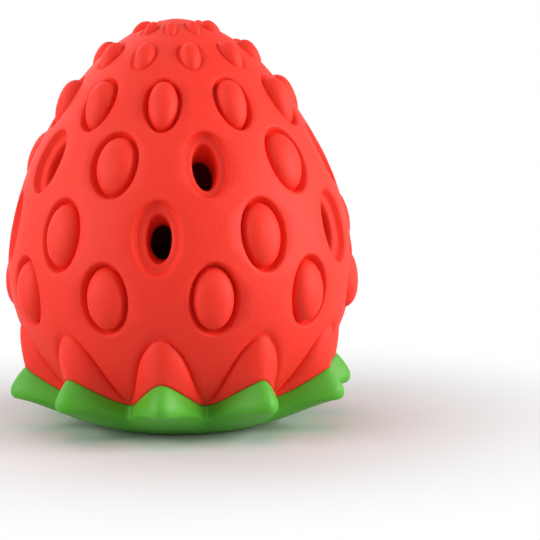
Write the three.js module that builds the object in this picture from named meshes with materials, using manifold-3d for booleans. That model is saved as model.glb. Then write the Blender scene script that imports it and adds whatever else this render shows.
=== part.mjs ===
// Treat dispensing strawberry toy: a hollow rubber fruit that plugs onto a ten-leaf base.
// Millimetres, +Z up. The toy stands on the flat foot at z = 0, tip up, and its lower outlet faces -Y.

import * as THREE from 'three';
import { mergeVertices } from 'three/addons/utils/BufferGeometryUtils.js';
import Module from 'manifold-3d';

const wasm = await Module();
wasm.setup();

// Driving dimensions of the fruit
const FRUIT_HEIGHT = 95; // from the floor to the tip
const GIRTH_RADIUS = 40.5; // at the widest place
const GIRTH_HEIGHT = 38; // the widest place, above the floor
const TAIL_DEPTH = 39.75; // from the girth down to where the lower curve would close
const CHEEK_POWER = 1.65; // how long the sides stay full above the girth
const TIP_POWER = 0.57; // how blunt the tip is
const WALL = 9.5; // rubber between the outside and the treat chamber

// Driving dimensions of the seeds, which are ellipsoids in shallow dishes
const SEEDS_PER_ROW = 10;
const SEED_CREST = 1.3; // above the skin
const SEED_SINK = 2; // from the skin down to the floor of the dish
const SEED_ROOT = 1; // how far the seed's dome goes on below that floor
// climb: share of the way from the petal tips to the fruit's tip; rim: width of the dish round the seed
const SEED_ROWS = [
  { climb: 0.127, width: 10.1, length: 15.1, rim: 0.9, steps: 10 },
  { climb: 0.325, width: 10.1, length: 16.1, rim: 0.9, steps: 10 },
  { climb: 0.547, width: 10.2, length: 15.4, rim: 0.9, steps: 10 },
  { climb: 0.724, width: 7.4, length: 13.2, rim: 0.8, steps: 9 },
  { climb: 0.88, width: 5.6, length: 8.1, rim: 0.5, steps: 6 },
  { climb: 0.962, width: 3.2, length: 5.4, rim: 0.3, steps: 6 },
];

// Driving dimensions of the treat outlets, which take the place of two seeds on the front
const OUTLETS = [
  { row: 1, place: 0, width: 11.7, length: 17.5 },
  { row: 2, place: 0, width: 11.3, length: 16.6 },
];
const THROAT_WIDTH = 7.2;
const THROAT_LENGTH = 12;
const THROAT_DEPTH = 2.2; // from the skin to the throat's edge
const THROAT_END_WIDTH = 6.8; // where the throat meets the chamber
const THROAT_END_LENGTH = 10;

// Driving dimensions of the petals and leaves
const LEAF_COUNT = 10;
const PETAL_TIP = 24.8; // above the floor
const PETAL_STAND = 5.2; // how far the petal's crest stands off the fruit at the seam
const PETAL_TAPER = 0.65; // how fast the petal widens below its tip
const PETAL_ROUND = 1.3; // 1 is a sharp tent, 2 a round rib
const LEAF_TOP = 14.6; // seam on the crest of a leaf, above the floor
const VALLEY_TOP = 8.2; // seam between two leaves, above the floor
const LEAF_LIP = 0.15; // how far the leaf stands out past the petal at the seam
const LEAF_FLARE = 3.1; // how far the leaf leans out below the seam
const LEAF_TIP_HEIGHT = 9.2;
const LEAF_EDGE_HEIGHT = 7.3;
const LEAF_EDGE_INSET = 1.2; // from the leaf's tip in to its lower edge
const LEAF_SHARPNESS = 0.965; // 1 is a sharp star, less rounds its points and valleys
const FOOT_RADIUS = 19;
const BOWL_RADIUS = 74; // of the round underside

// Driving dimensions of the plug that holds the fruit on the base
const SPIGOT_RADIUS = 20;
const SPIGOT_WALL = 4;
const SPIGOT_RISE = 9; // above the seat
const SPIGOT_CHAMFER = 1;
const SEAT_LAND = 3; // flat ring round the spigot
const BASE_FLOOR = 5; // thickness of the base under the chamber
const FIT_GAP = 0.3; // between the fruit and the base, all round

// Facets
const ROUND_STEPS = 40;
const NECK_STEPS = 30;
const LEAF_STEPS = 10;
const PETAL_STEPS = 4;
const OVAL_STEPS = 20;
const DOME_TURNS = [0, 40, 72]; // degrees up a seed's dome
const CHEEK_RINGS = 9;
const TAIL_RINGS = 4;

const CUT_PAST = 4; // how far a cutter runs past the faces that it cuts
const FULL_TURN = 2 * Math.PI;
const LEAF_HALF = FULL_TURN / LEAF_COUNT / 2;

// A point at a radius, an angle from -Y towards +X, and a height.
function polar(radius, angle, height) {
  return new THREE.Vector3(radius * Math.sin(angle), -radius * Math.cos(angle), height);
}

// Radius of the fruit at a height: a power curve above the girth and an ellipse below it.
// inset gives the same form shrunk by that much all round.
function fruitRadius(height, inset = 0) {
  const girth = GIRTH_RADIUS - inset;
  if (height < GIRTH_HEIGHT) {
    const drop = (GIRTH_HEIGHT - height) / (TAIL_DEPTH - inset);
    return girth * Math.sqrt(Math.max(0, 1 - drop * drop));
  }
  const climb = Math.min(1, (height - GIRTH_HEIGHT) / (FRUIT_HEIGHT - inset - GIRTH_HEIGHT));
  return girth * Math.pow(1 - Math.pow(climb, CHEEK_POWER), TIP_POWER);
}

// Profile points from a height on the fruit's lower curve up to its tip, closer together towards the tip.
function fruitProfile(from, inset = 0) {
  const points = [];
  for (let i = 0; i < TAIL_RINGS; i++) {
    const height = THREE.MathUtils.lerp(from, GIRTH_HEIGHT, i / TAIL_RINGS);
    points.push(new THREE.Vector2(fruitRadius(height, inset), height));
  }
  for (let i = 0; i < CHEEK_RINGS; i++) {
    const climb = Math.sin((Math.PI / 2) * (i / CHEEK_RINGS));
    const height = THREE.MathUtils.lerp(GIRTH_HEIGHT, FRUIT_HEIGHT - inset, climb);
    points.push(new THREE.Vector2(fruitRadius(height, inset), height));
  }
  points.push(new THREE.Vector2(0, FRUIT_HEIGHT - inset));
  return points;
}

// The fruit's skin at a height and angle: a point with its outward, sideways and upward directions.
function skinFrame(height, angle) {
  const step = 0.05;
  const slope = (fruitRadius(height + step) - fruitRadius(height - step)) / (2 * step);
  const lean = Math.atan(-slope);
  const radial = polar(1, angle, 0);
  const up = new THREE.Vector3(0, 0, 1);
  return {
    point: polar(fruitRadius(height), angle, height),
    out: radial.clone().multiplyScalar(Math.cos(lean)).addScaledVector(up, Math.sin(lean)),
    side: new THREE.Vector3(Math.cos(angle), Math.sin(angle), 0),
    rise: up.clone().multiplyScalar(Math.cos(lean)).addScaledVector(radial, -Math.sin(lean)),
  };
}

// Closed body through rings of points, each ring counter-clockwise about the way the rings go.
function loft(rings) {
  const count = rings[0].length;
  const points = rings.flat();
  const middle = (ring) =>
    ring.reduce((sum, p) => sum.add(p), new THREE.Vector3()).divideScalar(count);
  const start = points.push(middle(rings[0])) - 1;
  const end = points.push(middle(rings[rings.length - 1])) - 1;
  const last = (rings.length - 1) * count;
  const index = [];
  for (let i = 0; i < count; i++) {
    const next = (i + 1) % count;
    index.push(start, next, i, end, last + i, last + next);
    for (let row = 0; row < last; row += count) {
      index.push(row + i, row + next, row + count + next);
      index.push(row + i, row + count + next, row + count + i);
    }
  }
  const geometry = new THREE.BufferGeometry().setFromPoints(points);
  geometry.setIndex(index);
  return geometry;
}

// Body of revolution about Z from a profile of (radius, height) points.
function turned(profile, steps) {
  return new THREE.LatheGeometry(profile, steps).rotateX(Math.PI / 2);
}

// Solid for cutting and joining, from a geometry whose shared points are merged first.
function solid(geometry) {
  geometry.deleteAttribute('normal');
  geometry.deleteAttribute('uv');
  const merged = mergeVertices(geometry, 1e-4);
  const corners = merged.index.array;
  const triangles = [];
  for (let i = 0; i < corners.length; i += 3) {
    const [a, b, c] = corners.slice(i, i + 3);
    if (a !== b && b !== c && c !== a) triangles.push(a, b, c);
  }
  const mesh = new wasm.Mesh({
    numProp: 3,
    vertProperties: new Float32Array(merged.attributes.position.array),
    triVerts: new Uint32Array(triangles),
  });
  return new wasm.Manifold(mesh);
}

function joined(solids) {
  return solids.reduce((sum, next) => sum.add(next));
}

function named(name, body, material) {
  const mesh = body.getMesh();
  const geometry = new THREE.BufferGeometry();
  geometry.setAttribute('position', new THREE.BufferAttribute(mesh.vertProperties, 3));
  geometry.setIndex(new THREE.BufferAttribute(mesh.triVerts, 1));
  geometry.computeVertexNormals();
  const part = new THREE.Mesh(geometry, new THREE.MeshStandardMaterial(material));
  part.name = name;
  return part;
}

// Star that leaves and petals share: 0 on a leaf's crest and 1 in the valley beside it, straight between,
// with both ends rounded.
function valleyShare(angle) {
  const wave = Math.asin(LEAF_SHARPNESS * Math.cos((Math.PI * angle) / LEAF_HALF));
  return 0.5 - wave / Math.asin(LEAF_SHARPNESS) / 2;
}

// Radius between a crest and a valley, by shares of their inverses, which keeps the flanks straight in plan.
function starRadius(crest, valley, share) {
  return 1 / ((1 - share) / crest + share / valley);
}

const CREST_RADIUS = fruitRadius(LEAF_TOP) + PETAL_STAND;
const VALLEY_RADIUS = fruitRadius(VALLEY_TOP) + LEAF_LIP;
const LAND_RADIUS = SPIGOT_RADIUS + SEAT_LAND;

// Height of the wavy seam, and its radius on the leaf's side.
function seamHeight(angle) {
  return THREE.MathUtils.lerp(LEAF_TOP, VALLEY_TOP, valleyShare(angle));
}

function seamRadius(angle) {
  return starRadius(CREST_RADIUS + LEAF_LIP, VALLEY_RADIUS, valleyShare(angle));
}

// Height of the seat at a radius: straight from the flat land round the spigot out through the seam.
function seatHeight(radius, angle) {
  const share = (radius - LAND_RADIUS) / (seamRadius(angle) - LAND_RADIUS);
  return THREE.MathUtils.lerp(VALLEY_TOP, seamHeight(angle), share);
}

// Ring of points round the axis, from the radius and height at each angle.
function starRing(radiusAt, heightAt) {
  const steps = LEAF_COUNT * LEAF_STEPS;
  return Array.from({ length: steps }, (_, i) => {
    const angle = (FULL_TURN * i) / steps;
    return polar(radiusAt(angle), angle, heightAt(angle));
  });
}

// Height of the round underside at a radius.
function bowlHeight(radius) {
  return Math.sqrt(BOWL_RADIUS ** 2 - FOOT_RADIUS ** 2) - Math.sqrt(BOWL_RADIUS ** 2 - radius ** 2);
}

function leafStar() {
  const tip = CREST_RADIUS + LEAF_LIP + LEAF_FLARE;
  const edgeRadius = (a) => starRadius(tip - LEAF_EDGE_INSET, VALLEY_RADIUS, valleyShare(a));
  const valleyEdge = bowlHeight(VALLEY_RADIUS);
  const edgeHeight = (a) => THREE.MathUtils.lerp(LEAF_EDGE_HEIGHT, valleyEdge, valleyShare(a));
  const underRing = (share) => {
    const radiusAt = (a) => THREE.MathUtils.lerp(FOOT_RADIUS, edgeRadius(a), share);
    const lift = (a) => (edgeHeight(a) - bowlHeight(edgeRadius(a))) * share * share;
    return starRing(radiusAt, (a) => bowlHeight(radiusAt(a)) + lift(a));
  };
  const tipHeight = (a) =>
    THREE.MathUtils.lerp(LEAF_TIP_HEIGHT, (valleyEdge + VALLEY_TOP) / 2, valleyShare(a));
  return loft([
    underRing(0),
    underRing(0.35),
    underRing(0.7),
    underRing(1),
    starRing((a) => starRadius(tip, VALLEY_RADIUS, valleyShare(a)), tipHeight),
    starRing(seamRadius, seamHeight),
    starRing(() => LAND_RADIUS, () => VALLEY_TOP),
  ]);
}

function leafBase() {
  const top = VALLEY_TOP + SPIGOT_RISE;
  const spigot = turned(
    [
      new THREE.Vector2(0, BASE_FLOOR),
      new THREE.Vector2(SPIGOT_RADIUS, BASE_FLOOR),
      new THREE.Vector2(SPIGOT_RADIUS, top - SPIGOT_CHAMFER),
      new THREE.Vector2(SPIGOT_RADIUS - SPIGOT_CHAMFER, top),
      new THREE.Vector2(0, top),
    ],
    NECK_STEPS,
  );
  const cupRadius = SPIGOT_RADIUS - SPIGOT_WALL;
  const cup = turned(
    [
      new THREE.Vector2(0, BASE_FLOOR),
      new THREE.Vector2(cupRadius, BASE_FLOOR),
      new THREE.Vector2(cupRadius, top + CUT_PAST),
      new THREE.Vector2(0, top + CUT_PAST),
    ],
    NECK_STEPS,
  );
  return solid(leafStar()).add(solid(spigot)).subtract(solid(cup));
}

// One petal: a tent that widens downwards from its tip, sunk into the fruit along its edges.
function petal(angle) {
  const edge = 1.1;
  const root = VALLEY_TOP - CUT_PAST / 2;
  const tipRadius = fruitRadius(PETAL_TIP);
  const sections = [];
  for (let level = 0; level <= PETAL_STEPS; level++) {
    const height = THREE.MathUtils.lerp(root, PETAL_TIP - 0.1, level / PETAL_STEPS);
    const below = (PETAL_TIP - height) / (PETAL_TIP - VALLEY_TOP);
    const half = LEAF_HALF * Math.pow(below, PETAL_TAPER);
    const crestShare = (PETAL_TIP - height) / (PETAL_TIP - LEAF_TOP);
    const crest = THREE.MathUtils.lerp(tipRadius, CREST_RADIUS, crestShare);
    const skin = fruitRadius(height);
    const section = [];
    for (let i = -PETAL_STEPS; i <= PETAL_STEPS; i++) {
      const across = (edge * i) / PETAL_STEPS;
      const stand = (crest - skin) * (1 - Math.pow(Math.abs(across), PETAL_ROUND));
      section.push(polar(skin + stand, angle + half * across, height));
    }
    const back = skin - WALL / 2;
    section.push(polar(back, angle + half / 2, height), polar(back, angle - half / 2, height));
    sections.push(section);
  }
  return loft(sections);
}

// Everything under the seat, a fitting gap above it, which the fruit is cut away to clear.
function seatCutter() {
  const reach = CREST_RADIUS + LEAF_FLARE + CUT_PAST;
  const below = () => -CUT_PAST;
  return loft([
    starRing(() => LAND_RADIUS, below),
    starRing(() => reach, below),
    starRing(() => reach, (a) => seatHeight(reach, a) + FIT_GAP),
    starRing(seamRadius, (a) => seamHeight(a) + FIT_GAP),
    starRing(() => LAND_RADIUS, () => VALLEY_TOP + FIT_GAP),
  ]);
}

function treatChamber() {
  const neck = SPIGOT_RADIUS + FIT_GAP;
  const narrow = Math.sqrt(1 - (neck / (GIRTH_RADIUS - WALL)) ** 2);
  const join = GIRTH_HEIGHT - (TAIL_DEPTH - WALL) * narrow;
  const profile = [
    new THREE.Vector2(0, VALLEY_TOP - CUT_PAST),
    new THREE.Vector2(neck, VALLEY_TOP - CUT_PAST),
    ...fruitProfile(join, WALL),
  ];
  return turned(profile, NECK_STEPS);
}

function rowHeight(row) {
  return THREE.MathUtils.lerp(PETAL_TIP, FRUIT_HEIGHT, SEED_ROWS[row].climb);
}

// Every other row is turned by half a pitch, so that its seeds stand between those of the next row.
function placeAngle(row, place) {
  return (FULL_TURN / SEEDS_PER_ROW) * (place + (row % 2 === 0 ? 0.5 : 0));
}

// Oval body on the skin, from rings given as [height above the skin, width, length], lowest first.
function ovalLoft(frame, steps, rings) {
  return solid(
    loft(
      rings.map(([height, width, length]) =>
        Array.from({ length: steps }, (_, i) => {
          const turn = (FULL_TURN * (i + 0.5)) / steps;
          return frame.point
            .clone()
            .addScaledVector(frame.out, height)
            .addScaledVector(frame.side, (width / 2) * Math.cos(turn))
            .addScaledVector(frame.rise, (length / 2) * Math.sin(turn));
        }),
      ),
    ),
  );
}

// Dish round a seed: its wall leans out from the seed's foot to the rim, and goes on to clear the skin.
function dishCutter(frame, { width, length, rim, steps }) {
  const lean = (2 * rim) / SEED_SINK;
  const wall = (height) => [height, width + 2 * rim + lean * height, length + 2 * rim + lean * height];
  return ovalLoft(frame, steps, [wall(-SEED_SINK), wall(CUT_PAST)]);
}

// Seed: the upper half of an ellipsoid, rooted below the floor of its dish.
function seed(frame, { width, length, steps }) {
  const root = -SEED_SINK - SEED_ROOT;
  const dome = SEED_CREST - root;
  const ring = (turn) => [root + dome * Math.sin(turn), width * Math.cos(turn), length * Math.cos(turn)];
  return ovalLoft(frame, steps, DOME_TURNS.map((turn) => ring(THREE.MathUtils.degToRad(turn))));
}

// Oval funnel along the skin's normal, from inside the chamber to outside the skin.
function outletCutter({ row, place, width, length }) {
  const frame = skinFrame(rowHeight(row), placeAngle(row, place));
  const past = (rim, throat) => rim + ((rim - throat) * CUT_PAST) / THROAT_DEPTH;
  return ovalLoft(frame, OVAL_STEPS, [
    [-WALL - CUT_PAST, THROAT_END_WIDTH, THROAT_END_LENGTH],
    [-WALL, THROAT_END_WIDTH, THROAT_END_LENGTH],
    [-THROAT_DEPTH, THROAT_WIDTH, THROAT_LENGTH],
    [CUT_PAST, past(width, THROAT_WIDTH), past(length, THROAT_LENGTH)],
  ]);
}

function bodyShell() {
  const dishes = [];
  const seeds = [];
  const isOutlet = (row, place) => OUTLETS.some((o) => o.row === row && o.place === place);
  SEED_ROWS.forEach((sizes, row) => {
    for (let place = 0; place < SEEDS_PER_ROW; place++) {
      if (isOutlet(row, place)) continue;
      const frame = skinFrame(rowHeight(row), placeAngle(row, place));
      dishes.push(dishCutter(frame, sizes));
      seeds.push(seed(frame, sizes));
    }
  });
  const petals = Array.from({ length: LEAF_COUNT }, (_, i) => solid(petal(2 * LEAF_HALF * i)));
  const root = [new THREE.Vector2(0, VALLEY_TOP - CUT_PAST)];
  const fruit = solid(turned(root.concat(fruitProfile(VALLEY_TOP - CUT_PAST)), ROUND_STEPS));
  return joined([fruit, ...petals])
    .subtract(joined(dishes))
    .add(joined(seeds))
    .subtract(solid(treatChamber()))
    .subtract(joined(OUTLETS.map(outletCutter)))
    .subtract(solid(seatCutter()));
}

const toy = new THREE.Group();
toy.add(named('leaf_base', leafBase(), { color: 0x5aa032, roughness: 0.6, metalness: 0 }));
toy.add(named('body_shell', bodyShell(), { color: 0xe8412f, roughness: 0.6, metalness: 0 }));

export default toy;
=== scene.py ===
"""Dresses the treat dispensing strawberry toy: a seeded rubber fruit plugged onto a leafy rubber base.

Shapes are worked out in millimetres round the toy's axis. Angles run from -Y, where a lower outlet is,
towards +X. Lengths along the fruit's outline run from its lower end up to its tip.
"""

import math

import bmesh
import bpy
import numpy as np
from mathutils import Matrix, Vector


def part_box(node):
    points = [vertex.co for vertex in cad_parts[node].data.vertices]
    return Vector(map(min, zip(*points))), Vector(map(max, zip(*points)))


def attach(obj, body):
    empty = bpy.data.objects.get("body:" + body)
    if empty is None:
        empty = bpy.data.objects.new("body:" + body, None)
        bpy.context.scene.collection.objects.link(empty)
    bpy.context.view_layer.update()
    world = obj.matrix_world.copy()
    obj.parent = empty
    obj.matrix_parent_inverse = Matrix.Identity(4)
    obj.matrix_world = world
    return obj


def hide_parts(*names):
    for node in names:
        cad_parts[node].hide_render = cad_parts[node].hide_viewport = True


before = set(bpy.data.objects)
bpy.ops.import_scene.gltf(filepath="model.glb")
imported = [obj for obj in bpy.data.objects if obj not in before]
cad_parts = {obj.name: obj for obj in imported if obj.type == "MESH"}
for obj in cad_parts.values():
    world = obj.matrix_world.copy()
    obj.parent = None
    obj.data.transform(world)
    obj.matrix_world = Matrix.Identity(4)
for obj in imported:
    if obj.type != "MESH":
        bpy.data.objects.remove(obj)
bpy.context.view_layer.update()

MM = 0.001

# The fruit: an egg, whose cheeks are thinned a little between two heights
FRUIT_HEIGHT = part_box("body_shell")[1].z / MM
GIRTH_RADIUS = 40.5
GIRTH_HEIGHT = 38.0
TAIL_DEPTH = 39.75
CHEEK_POWER = 1.65
TIP_POWER = 0.57
CHEEK_THIN = 0.45
THIN_FROM = 63.0
THIN_TO = 85.0
WALL = 9.5

# The seeds, from the lowest row up. climb is the share of the way from the petal tips to the fruit's tip,
# tilt is how much further a seed's upper end stands out, and edge is the power that makes its sides steep
SEEDS_PER_ROW = 10
PITCH = 2 * math.pi / SEEDS_PER_ROW
SEED_SIZES = ("climb", "width", "length", "crest", "groove", "rim", "tilt", "edge")
SEED_ROWS = [
    dict(zip(SEED_SIZES, sizes))
    for sizes in (
        (0.127, 9.8, 15.0, 1.5, 2.4, 1.2, -0.12, 0.43),
        (0.325, 9.6, 15.2, 1.5, 2.4, 1.2, 0.0, 0.43),
        (0.551, 9.9, 14.4, 1.3, 2.4, 1.2, 0.08, 0.43),
        (0.734, 7.2, 12.6, 2.0, 2.2, 1.1, 0.22, 0.45),
        (0.884, 4.9, 8.2, 1.8, 0.5, 1.0, 0.25, 0.75),
        (0.968, 2.9, 5.2, 1.2, 0.3, 0.8, 0.25, 0.75),
    )
]
SEED_ROUND = 2.5
CELL_MARGIN = 0.5
PETAL_MARGIN = 1.5

# The outlets, which take the place of every other seed in two rows. A rim goes down to a ledge, and the
# ledge's lip rounds over into a throat that narrows towards the chamber
OUTLET_EVERY = 2
OUTLET_ROWS = {
    1: {"width": 11.8, "length": 17.6},
    2: {"width": 11.2, "length": 16.4},
}
OUTLET_RIM = 1.0
RIM_DROP = 1.75
LEDGE_SHARE = 0.58
LEDGE_DROP = 0.2
LIP_ROUND = 0.7
LIP_DROP = 1.1
THROAT_WIDTH = 6.2
THROAT_LENGTH = 11.4
THROAT_END_WIDTH = 5.3
THROAT_END_LENGTH = 7.6

# The petals, moulded on the fruit: their arched edges, the creases along these, and how far they swell
LEAF_COUNT = 10
LEAF_HALF = math.pi / LEAF_COUNT
PETAL_TIP = 24.8
PETAL_STAND = 4.7
PETAL_ARCH = 0.66
ARCH_ROUND = 0.6
ARCH_CROWDING = 1.25
ARCH_FOOT_POWER = 5
PETAL_CREASE = 0.9
PETAL_CREASE_WIDTH = 1.7
CREASE_FADE = 3.0
PETAL_SWELL = 1.1
SWELL_TO_CREST = 2.6
SWELL_MIDDLE = 0.65
SWELL_FLANK = 1.3
FLANK_FROM = 0.45
FLARE_POWER = 6
FLARE_REACH = 3.0

# The seam between petals and leaves: a wave in height and a star in plan, each rounded at crest and valley
LEAF_TOP = 14.5
VALLEY_TOP = 8.2
VALLEY_STAND = 1.2
WAVE_CREST = 0.2
WAVE_VALLEY = 0.35
STAR_CREST = 0.36
STAR_VALLEY = 0.067
SEAM_GAP = 0.08
SEAM_STEP = 0.12
PETAL_LIP = 0.3

# The leaves and the round underside. A pair is a value on a leaf's crest and one in the valley beside it
LEAF_LIP = 0.15
LEAF_LIP_ROUND = 0.4
LEAF_FLARE = 3.6
LEAF_SWELL = 0.35
LEAF_TIP_HEIGHT = 9.2
LEAF_EDGE_HEIGHT = 7.3
LEAF_EDGE_INSET = 1.2
EDGE_RISE = 0.8
EDGE_DIP = 3.2
VALLEY_FACE = 0.5
VALLEY_EDGE = 29.0
CORNER_OUT = (0.3, 0.1)
CORNER_UP = (0.1, 0.0)
FOOT_RADIUS = 19.0
BOWL_RADIUS = 74.0
SAG_POWER = 5

# The plug between the two. Each corner is given by steps outwards and up from its sharp point
SPIGOT_RADIUS = 20.0
SPIGOT_WALL = 4.0
SPIGOT_RISE = 9.0
SEAT_LAND = 3.0
BASE_FLOOR = 5.0
FIT_GAP = 0.3
NECK_ROUND = 0.5
NECK_MIDWAY = 0.1
PLUG_FOOT_CORNER = ((0.6, 0.0), (0.15, 0.15), (0.0, 0.6))
PLUG_RIM_CORNER = ((0.0, -1.2), (-0.3, -0.4), (-1.1, 0.0))
CUP_RIM_CORNER = ((1.0, 0.0), (0.25, -0.3), (0.0, -1.0))
CUP_FLOOR_CORNER = ((0.0, 2.0), (-0.5, 0.6), (-1.8, 0.0))

# Steps of the grids
HALF_STEPS = 12
SIDE_STEPS = 14
DOME_RINGS = 8
RIM_RINGS = 6
THROAT_RINGS = 7
LIP_RINGS = 5
LEDGE_RINGS = 4
OUTLET_WALL_RINGS = 8
LINING_RINGS = 2
CAP_RINGS = 4
NECK_RINGS = 5
LEAF_STEPS = 40
CORNER_RINGS = 8
LAND_RINGS = 4
MERIDIAN_STEPS = 6000
HALVINGS = 40
WELD = 2e-6
SLIVER = 1e-7

# Shares of the way along the petals' columns: from the petal's edge up to the seeds, from the edge down to
# the seam, and from the seam in under the fruit
SKIN_WAYS = np.array([1.0, 0.8, 0.62, 0.45, 0.32, 0.22, 0.14, 0.085, 0.045, 0.018, 0.0])[:, None]
PAD_WAYS = np.array([0.015, 0.04, 0.08, 0.14, 0.22, 0.32, 0.44, 0.57, 0.7, 0.82, 0.92, 1.0])[:, None]
SEAT_WAYS = np.array([0.03, 0.2, 0.4, 0.6, 0.8, 1.0])[:, None]

# Shares of the way along the base's columns: out over the foot, out under the leaf, up its outer face and
# over its lip. A curve from the underside to the share at its end rounds the corner between them
FOOT_WAYS = (0.3, 0.6, 0.9, 0.985)
UNDER_WAYS = (0.015, 0.1, 0.22, 0.36, 0.5, 0.64, 0.76, 0.86, 0.93, 0.97)
CORNER_END = 0.15
FACE_WAYS = (0.25, 0.37, 0.5, 0.63, 0.75, 0.85, 0.93)
LIP_WAYS = (0.3, 0.55, 0.8, 1.0)


def lerp(a, b, share):
    """The value a share of the way from a to b."""
    return a + (b - a) * share


def smooth(share):
    """Goes from 0 to 1 with a level start and end."""
    share = np.clip(share, 0.0, 1.0)
    return share * share * (3 - 2 * share)


def polar(radius, angle, height):
    """Points at a radius and angle round the axis, and a height."""
    radius, angle, height = np.broadcast_arrays(radius, angle, height)
    return np.stack([radius * np.sin(angle), -radius * np.cos(angle), height], axis=-1)


def fruit_radius(height, inset=0.0):
    """Radius of the fruit at a height, shrunk by inset.

    It is an ellipse below the girth and a power curve above it. Half a sine wave thins the cheeks a little.
    """
    drop = np.clip((GIRTH_HEIGHT - height) / (TAIL_DEPTH - inset), 0.0, 1.0)
    climb = np.clip((height - GIRTH_HEIGHT) / (FRUIT_HEIGHT - inset - GIRTH_HEIGHT), 0.0, 1.0)
    thin = CHEEK_THIN * np.sin(np.interp(height, [THIN_FROM, THIN_TO], [0.0, math.pi]))
    return (GIRTH_RADIUS - inset) * np.sqrt(1 - drop**2) * (1 - climb**CHEEK_POWER) ** TIP_POWER - thin


class Meridian:
    """The fruit's outline in a plane through its axis, read by the length along it from its lower end."""

    def __init__(self, lowest, inset=0.0):
        """Samples the outline, closer together towards the tip, and adds up the lengths between them."""
        spread = 1 - (1 - np.linspace(0.0, 1.0, MERIDIAN_STEPS)) ** 3
        self.height = lerp(lowest, FRUIT_HEIGHT - inset, spread)
        self.radius = fruit_radius(self.height, inset)
        steps = np.hypot(np.diff(self.radius), np.diff(self.height))
        self.length = np.concatenate([[0.0], np.cumsum(steps)])
        self.out = np.gradient(self.height, self.length)
        self.up = -np.gradient(self.radius, self.length)
        self.end = self.length[-1]

    def at(self, along, values):
        """One of the outline's values at a length along it."""
        return np.interp(along, self.length, values)

    def along(self, height):
        """Length along the outline to a height."""
        return np.interp(height, self.height, self.length)

    def point(self, along, angle, lift=0.0):
        """Points on the outline turned to an angle, lifted off it along its normal."""
        radius = self.at(along, self.radius) + lift * self.at(along, self.out)
        height = self.at(along, self.height) + lift * self.at(along, self.up)
        return polar(radius, angle, height)


# The neck is the fruit's mouth round the plug, and it ends where its cylinder meets the chamber's ellipse
SKIN = Meridian(VALLEY_TOP)
NECK = SPIGOT_RADIUS + FIT_GAP
NECK_TOP = GIRTH_HEIGHT - (TAIL_DEPTH - WALL) * math.sqrt(1 - (NECK / (GIRTH_RADIUS - WALL)) ** 2)
LINING = Meridian(NECK_TOP, WALL)


class Patchwork:
    """Grids of rings of points that share their edges, gathered and welded into one closed mesh."""

    def __init__(self):
        self.points = []
        self.faces = []
        self.count = 0

    def add(self, grid, flip=False):
        """A grid of rings of points, each joined at its ends. flip turns its faces over."""
        rows, columns = grid.shape[:2]
        index = np.arange(rows * columns).reshape(rows, columns) + self.count
        index = np.concatenate([index, index[:, :1]], axis=1)
        quads = np.stack([index[:-1, :-1], index[1:, :-1], index[1:, 1:], index[:-1, 1:]], axis=-1)
        quads = quads.reshape(-1, 4)
        self.faces.append(quads[:, ::-1] if flip else quads)
        self.points.append(grid.reshape(-1, 3) * MM)
        self.count += rows * columns

    def build(self, name):
        """The welded mesh as an object."""
        mesh = bpy.data.meshes.new(name)
        points = np.concatenate(self.points)
        faces = np.concatenate(self.faces)
        mesh.from_pydata(points.tolist(), [], faces.tolist())
        weld = bmesh.new()
        weld.from_mesh(mesh)
        bmesh.ops.remove_doubles(weld, verts=weld.verts, dist=WELD)
        bmesh.ops.dissolve_degenerate(weld, edges=weld.edges, dist=SLIVER)
        weld.to_mesh(mesh)
        weld.free()
        mesh.shade_smooth()
        piece = bpy.data.objects.new(name, mesh)
        bpy.context.collection.objects.link(piece)
        return piece


def row_length(row):
    """Length along the skin to the middle of a row of seeds."""
    return SKIN.along(lerp(PETAL_TIP, FRUIT_HEIGHT, SEED_ROWS[row]["climb"]))


def row_reach(row):
    """How far a row's dishes reach above and below its middle."""
    reach = SEED_ROWS[row]["length"] / 2 + SEED_ROWS[row]["rim"]
    if row in OUTLET_ROWS:
        reach = max(reach, OUTLET_ROWS[row]["length"] / 2 + OUTLET_RIM)
    return reach + CELL_MARGIN


def row_turn(row):
    """Angle of a row's first seed: every other row is turned by half a pitch."""
    return PITCH / 2 if row % 2 == 0 else 0.0


def row_edges():
    """Middle and height of the waves that part the rows.

    A wave rises over the seeds below it and dips under those above, by half of what their reaches overlap.
    """
    edges = []
    for row in range(len(SEED_ROWS) + 1):
        last = row == len(SEED_ROWS)
        below = row_length(row - 1) + row_reach(row - 1) if row else SKIN.along(PETAL_TIP) + PETAL_MARGIN
        above = below if last else row_length(row) - row_reach(row)
        edges.append(((below + above) / 2, max(0.0, (below - above) / 2)))
    return edges


EDGES = row_edges()


def edge_length(edge, angle):
    """Length along the skin to an edge, a cosine wave, at an angle from a seed of the row above it."""
    middle, wave = EDGES[edge]
    return middle - wave * np.cos(2 * math.pi * angle / PITCH)


def cell_outline(row):
    """Outline of one seed's cell, counter-clockwise from its lower left.

    It is given by angles from the seed and lengths along the skin. Edges run below and above, and straight
    lines at half a pitch to either side.
    """
    across = np.linspace(-PITCH / 2, PITCH / 2, 2 * HALF_STEPS + 1)
    low = edge_length(row, across)
    high = edge_length(row + 1, across + PITCH / 2)
    climb = np.linspace(0.0, 1.0, SIDE_STEPS + 1)
    side = lerp(low[-1], high[-1], climb)
    right = np.full(SIDE_STEPS, PITCH / 2)
    angle = np.concatenate([across[:-1], right, across[:0:-1], -right])
    along = np.concatenate([low[:-1], side[:-1], high[:0:-1], side[:0:-1]])
    return angle, along


def oval_turns(outline, middle, width, length):
    """Turn on an oval that faces each point of a cell's outline."""
    angle, along = outline
    across = angle * SKIN.at(along, SKIN.radius)
    return np.arctan2((along - middle) / length, across / width)


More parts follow.
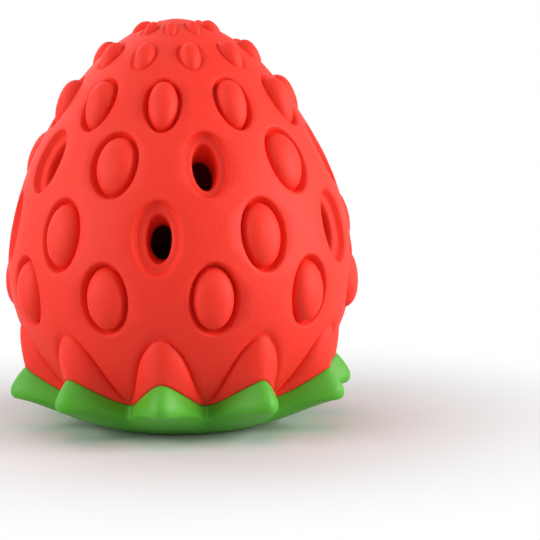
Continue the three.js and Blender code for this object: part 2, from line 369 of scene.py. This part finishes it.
def finish_cell(angle, along, lift, outline, centre):
    """Carries a cell's last ring out to its outline in two straight steps, and puts all on the skin."""
    for share in (0.5, 1.0):
        angle = np.concatenate([angle, lerp(angle[-1], outline[0], share)[None]])
        along = np.concatenate([along, lerp(along[-1], outline[1], share)[None]])
        lift = np.concatenate([lift, np.zeros_like(lift[:1])])
    return SKIN.point(along, centre + angle, lift)


def seed_rings(sizes):
    """Half width, half length, lift and tilt of rings from a seed's crest over its groove to its rim.

    The seed is a low dome with steep sides, a power of one less a power of the share of its half width. The
    wall of its dish is a smooth step from the groove up to the skin. The tilt fades out as the dome does.
    """
    share = np.sin(np.linspace(0.0, math.pi / 2, DOME_RINGS + 1))
    step = np.linspace(0.0, 1.0, RIM_RINGS + 1)[1:]
    width = np.concatenate([share * sizes["width"] / 2, sizes["width"] / 2 + step * sizes["rim"]])
    length = np.concatenate([share * sizes["length"] / 2, sizes["length"] / 2 + step * sizes["rim"]])
    dome = (1 - share**SEED_ROUND).clip(0.0) ** sizes["edge"]
    seed = (sizes["crest"] + sizes["groove"]) * dome - sizes["groove"]
    wall = -sizes["groove"] * (1 - smooth(step))
    tilt = np.concatenate([sizes["tilt"] * dome, np.zeros_like(step)])
    return width, length, np.concatenate([seed, wall]), tilt


def seed_cell(row, centre):
    """Grid of oval rings from the seed's crest to its cell's outline, lifted off the skin."""
    sizes = SEED_ROWS[row]
    middle = row_length(row)
    outline = cell_outline(row)
    turns = oval_turns(outline, middle, sizes["width"], sizes["length"])
    width, length, lift, tilt = seed_rings(sizes)
    along = middle + length[:, None] * np.sin(turns)
    angle = width[:, None] * np.cos(turns) / SKIN.at(along, SKIN.radius)
    lift = lift[:, None] + tilt[:, None] * (along - middle)
    return finish_cell(angle, along, lift, outline, centre)


def outlet_frame(row, centre):
    """Point on the skin at an outlet's middle, with its sideways, upward and outward directions."""
    middle = row_length(row)
    out, up = SKIN.at(middle, SKIN.out), SKIN.at(middle, SKIN.up)
    radial = np.array([math.sin(centre), -math.cos(centre), 0.0])
    lift = np.array([0.0, 0.0, 1.0])
    side = np.array([math.cos(centre), math.sin(centre), 0.0])
    return SKIN.point(middle, centre), side, out * lift - up * radial, out * radial + up * lift


def throat_end(row, centre, turns):
    """Where the throat meets the chamber: found by halving the depth between the skin and the chamber."""
    origin, side, rise, out = outlet_frame(row, centre)
    across = THROAT_END_WIDTH / 2 * np.cos(turns)[:, None] * side
    start = origin + across + THROAT_END_LENGTH / 2 * np.sin(turns)[:, None] * rise
    near = np.full(len(turns), WALL / 2)
    far = np.full(len(turns), 2 * WALL)
    for _ in range(HALVINGS):
        depth = (near + far) / 2
        point = start - depth[:, None] * out
        outside = np.hypot(point[:, 0], point[:, 1]) > fruit_radius(point[:, 2], WALL)
        near = np.where(outside, depth, near)
        far = np.where(outside, far, depth)
    return start - ((near + far) / 2)[:, None] * out


def outlet_cell(row, centre):
    """Grid of oval rings from an outlet's inner end, up its throat and over its ledge, to its outline.

    The throat's lip is a quarter of an ellipse. Round it runs a ledge that rises a little outwards, and
    from there the wall of the rim is a smooth step up to the skin.
    """
    sizes = OUTLET_ROWS[row]
    middle = row_length(row)
    outline = cell_outline(row)
    turns = oval_turns(outline, middle, sizes["width"], sizes["length"])
    end = throat_end(row, centre, turns)

    turn = np.linspace(0.0, math.pi / 2, LIP_RINGS + 1)
    ledge = np.linspace(0.0, LEDGE_SHARE, LEDGE_RINGS + 1)[1:]
    wall = np.linspace(0.0, 1.0, OUTLET_WALL_RINGS + 1)[1:]
    reach = np.concatenate([np.zeros_like(turn), ledge, lerp(LEDGE_SHARE, 1.0, wall)])
    grow = np.full_like(reach, LIP_ROUND)
    grow[: len(turn)] *= 1 - np.cos(turn)
    lip_lift = -RIM_DROP - LEDGE_DROP - LIP_DROP * (1 - np.sin(turn))
    ledge_lift = -RIM_DROP - LEDGE_DROP * (1 - ledge / LEDGE_SHARE)
    lift = np.concatenate([lip_lift, ledge_lift, -RIM_DROP * (1 - smooth(wall))])
    half_width = lerp(THROAT_WIDTH / 2 + grow, sizes["width"] / 2, reach)
    half_length = lerp(THROAT_LENGTH / 2 + grow, sizes["length"] / 2, reach)
    along = middle + half_length[:, None] * np.sin(turns)
    angle = half_width[:, None] * np.cos(turns) / SKIN.at(along, SKIN.radius)
    funnel = finish_cell(angle, along, lift[:, None], outline, centre)
    shares = np.linspace(0.0, 1.0, THROAT_RINGS + 1)[:-1]
    throat = np.stack([lerp(end, funnel[0], share) for share in shares])
    return np.concatenate([throat, funnel]), end


def rounded(share, bend):
    """A straight line from 0 to 1 whose start is bent level: a hyperbola."""
    return (np.sqrt(share**2 + bend**2) - bend) / (math.sqrt(1 + bend**2) - bend)


def angle_from_crest(angle):
    """Angle to the nearest leaf's crest."""
    return (angle + LEAF_HALF) % (2 * LEAF_HALF) - LEAF_HALF


def valley_share(angle, crest, valley):
    """0 on a leaf's crest and 1 in the valley beside it: straight between them, and rounded at both."""
    share = np.abs(angle_from_crest(angle)) / LEAF_HALF
    return rounded(1 - rounded(1 - share, valley), crest)


def plan_share(angle):
    """Share of the way from crest to valley of the star that the seam and the leaves make in plan."""
    return valley_share(angle, STAR_CREST, STAR_VALLEY)


def star_radius(crest, valley, share):
    """Radius between a crest and a valley, by shares of their inverses, which keeps flanks straight."""
    return 1 / ((1 - share) / crest + share / valley)


CREST_RADIUS = float(fruit_radius(LEAF_TOP)) + PETAL_STAND
VALLEY_RADIUS = float(fruit_radius(VALLEY_TOP)) + VALLEY_STAND
LAND_RADIUS = SPIGOT_RADIUS + SEAT_LAND


def seam_height(angle):
    """Height of the seam: a wave between the leaves' tops and their valleys."""
    return lerp(LEAF_TOP, VALLEY_TOP, valley_share(angle, WAVE_CREST, WAVE_VALLEY))


def seam_radius(angle):
    """Radius of the seam: a star between the leaves' tops and their valleys."""
    return star_radius(CREST_RADIUS + LEAF_LIP, VALLEY_RADIUS, plan_share(angle))


def around(half):
    """Ring of columns from one half petal's, mirrored and copied, from the first leaf's left valley."""
    whole = np.concatenate([half[:, :0:-1], half[:, :-1]], axis=1)
    return np.concatenate([whole] * LEAF_COUNT, axis=1)


def petal_grid():
    """Rows of points from the seeds' lowest edge down over the petals, round the lip and under the fruit.

    Each column passes through a point on a petal's edge: a round arch that flares out to the valley at its
    foot. Above that point the column lies on the skin, with a bell-shaped crease along the edge. Below it
    the petal swells out, by the root of the way down times the way left, and comes down to the seam.
    """
    even = np.arange(HALF_STEPS + 1) / HALF_STEPS
    top_height = SKIN.at(edge_length(0, LEAF_HALF * (even - 1)), SKIN.height)
    seam = seam_height(LEAF_HALF * even) + SEAM_GAP
    fall = even**ARCH_CROWDING
    arch = (1 - (1 - fall) ** 2) ** ARCH_ROUND
    edge_share = PETAL_ARCH * arch + (1 - PETAL_ARCH) * fall**ARCH_FOOT_POWER
    edge_height = lerp(PETAL_TIP, seam[-1], fall)

    run = top_height - edge_height
    away = SKIN_WAYS * run
    valley = even**FLARE_POWER
    depth = PETAL_CREASE * smooth(run / CREASE_FADE) * (1 - valley)
    crease = depth * np.exp(-((away / PETAL_CREASE_WIDTH) ** 2))
    flare = (VALLEY_STAND - SEAM_STEP) * valley * np.exp(-((away / FLARE_REACH) ** 2))
    skin_angle = LEAF_HALF * lerp(edge_share, even, SKIN_WAYS)
    skin_height = lerp(edge_height, top_height, SKIN_WAYS)
    skin_radius = fruit_radius(skin_height) - crease + flare

    length = edge_height - seam
    across = lerp(SWELL_MIDDLE, SWELL_FLANK, smooth(even / FLANK_FROM))
    bulge = SWELL_TO_CREST * np.sqrt(PAD_WAYS) * (1 - PAD_WAYS)
    swell = PETAL_SWELL * across * length / length[0] * bulge
    pad_angle = LEAF_HALF * lerp(edge_share, even, PAD_WAYS)
    pad_height = lerp(edge_height, seam, PAD_WAYS)
    pad_radius = lerp(skin_radius[-1], seam_radius(LEAF_HALF * even) - SEAM_STEP, PAD_WAYS) + swell

    angle = np.concatenate([skin_angle, pad_angle])
    height = np.concatenate([skin_height, pad_height])
    radius = np.concatenate([skin_radius, pad_radius])
    signs = np.concatenate([-np.ones(HALF_STEPS), np.ones(HALF_STEPS)])
    sign = np.tile(signs, LEAF_COUNT)
    leaf = np.repeat(np.arange(LEAF_COUNT), 2 * HALF_STEPS) * 2 * LEAF_HALF
    outer = polar(around(radius), leaf + sign * around(angle), around(height))
    even_angle = LEAF_HALF * even[None]
    ring = leaf + sign * around(even_angle)
    outer[0] = SKIN.point(edge_length(0, ring - PITCH / 2), ring)

    seat_level = VALLEY_TOP + FIT_GAP
    seat_angle = lerp(angle[-1][None], even_angle, SEAT_WAYS)
    seat_radius = lerp(radius[-1][None] - PETAL_LIP, LAND_RADIUS, SEAT_WAYS)
    seat_height = lerp(height[-1][None], seat_level, SEAT_WAYS)
    seat = polar(around(seat_radius), leaf + sign * around(seat_angle), around(seat_height))

    neck = [
        polar(NECK + NECK_ROUND, ring, seat_level),
        polar(NECK + NECK_MIDWAY, ring, seat_level + NECK_MIDWAY),
        polar(NECK, ring, seat_level + NECK_ROUND),
        polar(NECK, ring, lerp(VALLEY_TOP, NECK_TOP, 0.5)),
        polar(NECK, ring, NECK_TOP),
    ]
    return np.concatenate([outer, seat] + neck)


def lining_length(along):
    """Length along the chamber's wall under a length along the skin: straight in at each row of seeds."""
    middle, wave = EDGES[0]
    rows = [row_length(row) for row in range(len(SEED_ROWS))]
    marks = np.array([middle - wave] + rows + [SKIN.end])
    under = SKIN.at(marks, SKIN.height) - WALL * SKIN.at(marks, SKIN.up)
    return np.interp(along, marks, LINING.along(under))


def lining_cell(row, centre, end=None):
    """Grid of rings over the chamber's wall behind one cell, round an outlet's inner end if it has one."""
    angle, along = cell_outline(row)
    along = lining_length(along)
    if end is None:
        start_angle = np.zeros_like(angle)
        start_along = np.full_like(along, lining_length(row_length(row)))
    else:
        start_angle = np.arctan2(end[:, 0], -end[:, 1]) - centre
        start_along = LINING.along(end[:, 2])
    shares = np.linspace(0.0, 1.0, LINING_RINGS + 1)[:, None]
    grid = LINING.point(lerp(start_along, along, shares), centre + lerp(start_angle, angle, shares))
    if end is not None:
        grid[0] = end
    return grid


def closing_cap(meridian, along, angle):
    """Rows from a ring of points along the outline to the tip."""
    shares = np.linspace(0.0, 1.0, CAP_RINGS + 1)[:, None]
    angles = np.broadcast_to(angle, (len(shares), len(angle)))
    return meridian.point(lerp(along, meridian.end, shares), angles)


def make_fruit():
    """The red fruit as one closed shell: seeds, outlets, petals, the seat under them and the chamber."""
    shell = Patchwork()
    for row in range(len(SEED_ROWS)):
        for place in range(SEEDS_PER_ROW):
            centre = row_turn(row) + place * PITCH
            end = None
            if row in OUTLET_ROWS and place % OUTLET_EVERY == 0:
                cell, end = outlet_cell(row, centre)
            else:
                cell = seed_cell(row, centre)
            shell.add(cell)
            shell.add(lining_cell(row, centre, end), flip=True)
    shell.add(petal_grid())

    steps = 2 * HALF_STEPS * SEEDS_PER_ROW
    ring = np.arange(steps) * 2 * math.pi / steps
    top = np.full(steps, EDGES[-1][0])
    shell.add(closing_cap(SKIN, top, ring), flip=True)
    shell.add(closing_cap(LINING, lining_length(top), ring))
    low = lining_length(edge_length(0, ring - PITCH / 2))
    shares = np.linspace(0.0, 1.0, NECK_RINGS + 1)[:, None]
    shell.add(LINING.point(low * shares, np.broadcast_to(ring, (len(shares), steps))))
    return shell.build("fruit")


def bowl_height(radius):
    """Height of the underside at a radius: part of a sphere that starts at the foot's edge."""
    return math.sqrt(BOWL_RADIUS**2 - FOOT_RADIUS**2) - np.sqrt(BOWL_RADIUS**2 - radius**2)


def curve(start, pull, end, shares):
    """Rows on a quadratic curve from start to end, drawn towards pull, as pairs of radius and height."""
    rows = []
    for share in shares:
        near, middle, far = (1 - share) ** 2, 2 * share * (1 - share), share**2
        rows.append(tuple(near * a + middle * b + far * c for a, b, c in zip(start, pull, end)))
    return rows


def plug_rows():
    """Radius and height of each row of the plug, from its foot up, over its rim and down into the cup."""
    top = VALLEY_TOP + SPIGOT_RISE
    cup = SPIGOT_RADIUS - SPIGOT_WALL
    corners = (
        (SPIGOT_RADIUS, VALLEY_TOP, PLUG_FOOT_CORNER),
        (SPIGOT_RADIUS, top, PLUG_RIM_CORNER),
        (cup, top, CUP_RIM_CORNER),
        (cup, BASE_FLOOR, CUP_FLOOR_CORNER),
    )
    rows = [(radius + out, height + up) for radius, height, steps in corners for out, up in steps]
    return rows + [(cup / 2, BASE_FLOOR), (0.0, BASE_FLOOR)]


def leaf_profile(angle):
    """Radius and height of each row of the base at every angle, from the foot's middle round to the cup.

    Each row lies between its place on a leaf's crest and its place in the valley beside it.
    """
    share = plan_share(angle)
    tip = CREST_RADIUS + LEAF_LIP + LEAF_FLARE
    flat = np.zeros_like(angle)
    edge_radius = star_radius(tip - LEAF_EDGE_INSET, VALLEY_EDGE, share)
    edge_height = LEAF_EDGE_HEIGHT + EDGE_RISE * share - EDGE_DIP * share**2
    sag = edge_height - bowl_height(edge_radius)
    tip_radius = star_radius(tip, VALLEY_EDGE, share)
    tip_height = edge_height + lerp(LEAF_TIP_HEIGHT - LEAF_EDGE_HEIGHT, VALLEY_FACE, share)

    def under(way):
        """Along the bowl, from the foot to the leaf's lower edge, bent to it by a power of the way."""
        radius = lerp(FOOT_RADIUS, edge_radius, way)
        return radius, bowl_height(radius) + sag * way**SAG_POWER

    def face(way):
        """Up the leaf's outer face, from its tip to the seam, swelled by half a sine wave."""
        swell = LEAF_SWELL * np.sin(math.pi * way) * (1 - share)
        radius = lerp(tip_radius, seam_radius(angle), way) + swell
        return radius, lerp(tip_height, seam_height(angle), way)

    rows = [(flat, flat)]
    rows += [(flat + FOOT_RADIUS * way, flat) for way in FOOT_WAYS]
    rows += [under(way) for way in UNDER_WAYS]
    corner = (tip_radius + lerp(*CORNER_OUT, share), edge_height + lerp(*CORNER_UP, share))
    corner_shares = np.linspace(0.0, 1.0, CORNER_RINGS + 1)[1:]
    rows += curve(under(UNDER_WAYS[-1]), corner, face(CORNER_END), corner_shares)
    rows += [face(way) for way in FACE_WAYS]
    lip_radius, lip_height = face(1.0)
    inner_radius = lip_radius - LEAF_LIP_ROUND
    rows += curve(face(FACE_WAYS[-1]), (lip_radius, lip_height), (inner_radius, lip_height), LIP_WAYS)
    for way in np.linspace(0.0, 1.0, LAND_RINGS + 1)[1:]:
        rows.append((lerp(inner_radius, LAND_RADIUS, way), lerp(lip_height, VALLEY_TOP, way)))
    rows += [(flat + radius, flat + height) for radius, height in plug_rows()]
    return rows


def make_base():
    """The green base as one closed body: foot, bowl, leaves, seat and plug."""
    steps = LEAF_COUNT * LEAF_STEPS
    angle = np.arange(steps) * 2 * math.pi / steps
    rows = leaf_profile(angle)
    grid = np.stack([polar(radius, angle, height) for radius, height in rows])
    body = Patchwork()
    body.add(grid, flip=True)
    return body.build("leafy_base")


def grain_group():
    """Shared look of moulded rubber: a fine grain for bump and roughness, and faint clouds for colour."""
    group = bpy.data.node_groups.new("moulded_rubber_grain", "ShaderNodeTree")
    inputs = {"Grain Scale": 2400.0, "Cloud Scale": 60.0, "Roughness": 0.6, "Roughness Spread": 0.06}
    for name, value in inputs.items():
        socket = group.interface.new_socket(name, in_out="INPUT", socket_type="NodeSocketFloat")
        socket.default_value = value
    for name in ("Height", "Clouds", "Roughness"):
        group.interface.new_socket(name, in_out="OUTPUT", socket_type="NodeSocketFloat")
    nodes, links = group.nodes, group.links
    come = nodes.new("NodeGroupInput")
    leave = nodes.new("NodeGroupOutput")
    place = nodes.new("ShaderNodeTexCoord")
    grain = nodes.new("ShaderNodeTexNoise")
    grain.inputs["Detail"].default_value = 3.0
    grain.inputs["Roughness"].default_value = 0.6
    clouds = nodes.new("ShaderNodeTexNoise")
    clouds.inputs["Detail"].default_value = 2.0
    links.new(place.outputs["Object"], grain.inputs["Vector"])
    links.new(place.outputs["Object"], clouds.inputs["Vector"])
    links.new(come.outputs["Grain Scale"], grain.inputs["Scale"])
    links.new(come.outputs["Cloud Scale"], clouds.inputs["Scale"])
    centred = nodes.new("ShaderNodeMath")
    centred.operation = "SUBTRACT"
    centred.inputs[1].default_value = 0.5
    spread = nodes.new("ShaderNodeMath")
    spread.operation = "MULTIPLY_ADD"
    links.new(grain.outputs["Fac"], centred.inputs[0])
    links.new(centred.outputs[0], spread.inputs[0])
    links.new(come.outputs["Roughness Spread"], spread.inputs[1])
    links.new(come.outputs["Roughness"], spread.inputs[2])
    links.new(grain.outputs["Fac"], leave.inputs["Height"])
    links.new(clouds.outputs["Fac"], leave.inputs["Clouds"])
    links.new(spread.outputs[0], leave.inputs["Roughness"])
    return group


def rubber(name, dark, light, group, roughness):
    """Matte moulded rubber whose colour drifts faintly between two shades, with a fine grain."""
    material = bpy.data.materials.new(name)
    material.use_nodes = True
    nodes, links = material.node_tree.nodes, material.node_tree.links
    shader = nodes["Principled BSDF"]
    shader.inputs["Specular IOR Level"].default_value = 0.33
    grain = nodes.new("ShaderNodeGroup")
    grain.node_tree = group
    grain.inputs["Roughness"].default_value = roughness
    mix = nodes.new("ShaderNodeMix")
    mix.data_type = "RGBA"
    mix.inputs["A"].default_value = (*dark, 1.0)
    mix.inputs["B"].default_value = (*light, 1.0)
    bump = nodes.new("ShaderNodeBump")
    bump.inputs["Strength"].default_value = 0.3
    bump.inputs["Distance"].default_value = 0.0003
    links.new(grain.outputs["Clouds"], mix.inputs["Factor"])
    links.new(mix.outputs["Result"], shader.inputs["Base Color"])
    links.new(grain.outputs["Roughness"], shader.inputs["Roughness"])
    links.new(grain.outputs["Height"], bump.inputs["Height"])
    links.new(bump.outputs["Normal"], shader.inputs["Normal"])
    return material


def dress(piece, material, body, node):
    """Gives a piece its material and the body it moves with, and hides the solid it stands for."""
    piece.data.materials.append(material)
    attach(piece, body)
    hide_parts(node)


FLOOR_HALF = 4.0


def seen_rays(tree):
    """1 for what is seen straight, mirrored or through glass, and 0 for what only lights the toy."""
    path = tree.nodes.new("ShaderNodeLightPath")
    total = path.outputs["Is Camera Ray"]
    for kind in ("Is Glossy Ray", "Is Transmission Ray"):
        add = tree.nodes.new("ShaderNodeMath")
        add.use_clamp = True
        tree.links.new(total, add.inputs[0])
        tree.links.new(path.outputs[kind], add.inputs[1])
        total = add.outputs[0]
    return total


def make_floor():
    """Wide pale floor that keeps the toy's shadow, and goes over to the surroundings' white further out."""
    mesh = bpy.data.meshes.new("floor")
    signs = ((-1, -1), (1, -1), (1, 1), (-1, 1))
    mesh.from_pydata([(x * FLOOR_HALF, y * FLOOR_HALF, 0) for x, y in signs], [], [(0, 1, 2, 3)])
    floor = bpy.data.objects.new("floor", mesh)
    bpy.context.collection.objects.link(floor)
    material = bpy.data.materials.new("pale_floor")
    material.use_nodes = True
    nodes, links = material.node_tree.nodes, material.node_tree.links
    shader = nodes["Principled BSDF"]
    shader.inputs["Base Color"].default_value = (0.66, 0.66, 0.66, 1.0)
    shader.inputs["Roughness"].default_value = 0.6
    shader.inputs["Specular IOR Level"].default_value = 0.2
    place = nodes.new("ShaderNodeTexCoord")
    away = nodes.new("ShaderNodeVectorMath")
    away.operation = "LENGTH"
    fade = nodes.new("ShaderNodeMapRange")
    fade.interpolation_type = "SMOOTHSTEP"
    fade.inputs["From Min"].default_value = 0.03
    fade.inputs["From Max"].default_value = 0.13
    white = nodes.new("ShaderNodeEmission")
    seen = seen_rays(material.node_tree)
    mask = nodes.new("ShaderNodeMath")
    mask.operation = "MULTIPLY"
    mix = nodes.new("ShaderNodeMixShader")
    links.new(place.outputs["Object"], away.inputs[0])
    links.new(away.outputs["Value"], fade.inputs["Value"])
    links.new(fade.outputs["Result"], mask.inputs[0])
    links.new(seen, mask.inputs[1])
    links.new(mask.outputs[0], mix.inputs["Fac"])
    links.new(shader.outputs["BSDF"], mix.inputs[1])
    links.new(white.outputs["Emission"], mix.inputs[2])
    links.new(mix.outputs["Shader"], nodes["Material Output"].inputs["Surface"])
    floor.data.materials.append(material)


def make_world(glow):
    """Even pale surroundings: glow lights the toy, and the camera sees white."""
    world = bpy.data.worlds.new("studio")
    bpy.context.scene.world = world
    world.use_nodes = True
    nodes, links = world.node_tree.nodes, world.node_tree.links
    back = nodes["Background"]
    back.inputs["Color"].default_value = (1.0, 1.0, 1.0, 1.0)
    mix = nodes.new("ShaderNodeMix")
    mix.inputs["A"].default_value = glow
    mix.inputs["B"].default_value = 1.0
    links.new(seen_rays(world.node_tree), mix.inputs["Factor"])
    links.new(mix.outputs["Result"], back.inputs["Strength"])


def towards(turn, rise):
    """Direction at a turn round the toy from -Y and a rise over its floor, both in degrees."""
    turn, rise = math.radians(turn), math.radians(rise)
    return Vector((math.sin(turn) * math.cos(rise), -math.cos(turn) * math.cos(rise), math.sin(rise)))


# Each lamp's turn and rise in degrees, distance and size in metres, and power
WORLD_GLOW = 0.14
LAMPS = {
    "left_light": (-62, 19, 0.6, (0.45, 0.4), 2.65),
    "right_light": (84, 16, 0.6, (0.45, 0.4), 4.3),
    "top_light": (0, 65, 0.6, (0.45, 0.6), 1.05),
    "back_light": (-135, 40, 0.6, (0.45, 0.6), 1.2),
}


def soft_light(name, turn, rise, distance, size, power):
    """Lamp at a turn and rise seen from the toy, which it faces. size is its width and height."""
    lamp = bpy.data.lights.new(name, "AREA")
    lamp.shape = "RECTANGLE"
    lamp.size, lamp.size_y = size
    lamp.energy = power
    light = bpy.data.objects.new(name, lamp)
    bpy.context.collection.objects.link(light)
    way = towards(turn, rise)
    light.location = Vector((0.0, 0.0, FRUIT_HEIGHT / 2 * MM)) + way * distance
    light.rotation_euler = (-way).to_track_quat("-Z", "Y").to_euler()


# The camera, fitted to the photograph: its frame is 540 pixels wide
FRAME_PIXELS = 540
FOCAL_PIXELS = 2500
AXIS_PIXEL = (178.9, 180.2)
AIM_HEIGHT = 57.05
CAMERA_DISTANCE = 587.8
CAMERA_TURN = 7.34
CAMERA_RISE = 4.8
CAMERA_ROLL = -1.06
SENSOR = 36.0


def make_camera():
    """Camera at the photograph's angle, rolled a little. Its shifted frame puts the toy up and left."""
    data = bpy.data.cameras.new("camera")
    camera = bpy.data.objects.new("camera", data)
    bpy.context.collection.objects.link(camera)
    bpy.context.scene.camera = camera
    data.sensor_width = SENSOR
    data.lens = FOCAL_PIXELS / FRAME_PIXELS * SENSOR
    data.shift_x = 0.5 - AXIS_PIXEL[0] / FRAME_PIXELS
    data.shift_y = AXIS_PIXEL[1] / FRAME_PIXELS - 0.5
    back = towards(CAMERA_TURN, CAMERA_RISE)
    camera.location = Vector((0.0, 0.0, AIM_HEIGHT * MM)) + back * CAMERA_DISTANCE * MM
    facing = (-back).to_track_quat("-Z", "Y").to_matrix()
    roll = Matrix.Rotation(math.radians(CAMERA_ROLL), 3, "Z")
    camera.rotation_euler = (facing @ roll).to_euler()


make_camera()
grain = grain_group()
red = rubber("red_rubber", (0.79, 0.023, 0.008), (0.85, 0.027, 0.010), grain, 0.6)
green = rubber("green_rubber", (0.068, 0.345, 0.016), (0.082, 0.395, 0.020), grain, 0.45)
dress(make_fruit(), red, "fruit", "body_shell")
dress(make_base(), green, "base", "leaf_base")
make_floor()
make_world(WORLD_GLOW)
for lamp_name, settings in LAMPS.items():
    soft_light(lamp_name, *settings)
bpy.context.scene.view_settings.view_transform = "Standard"
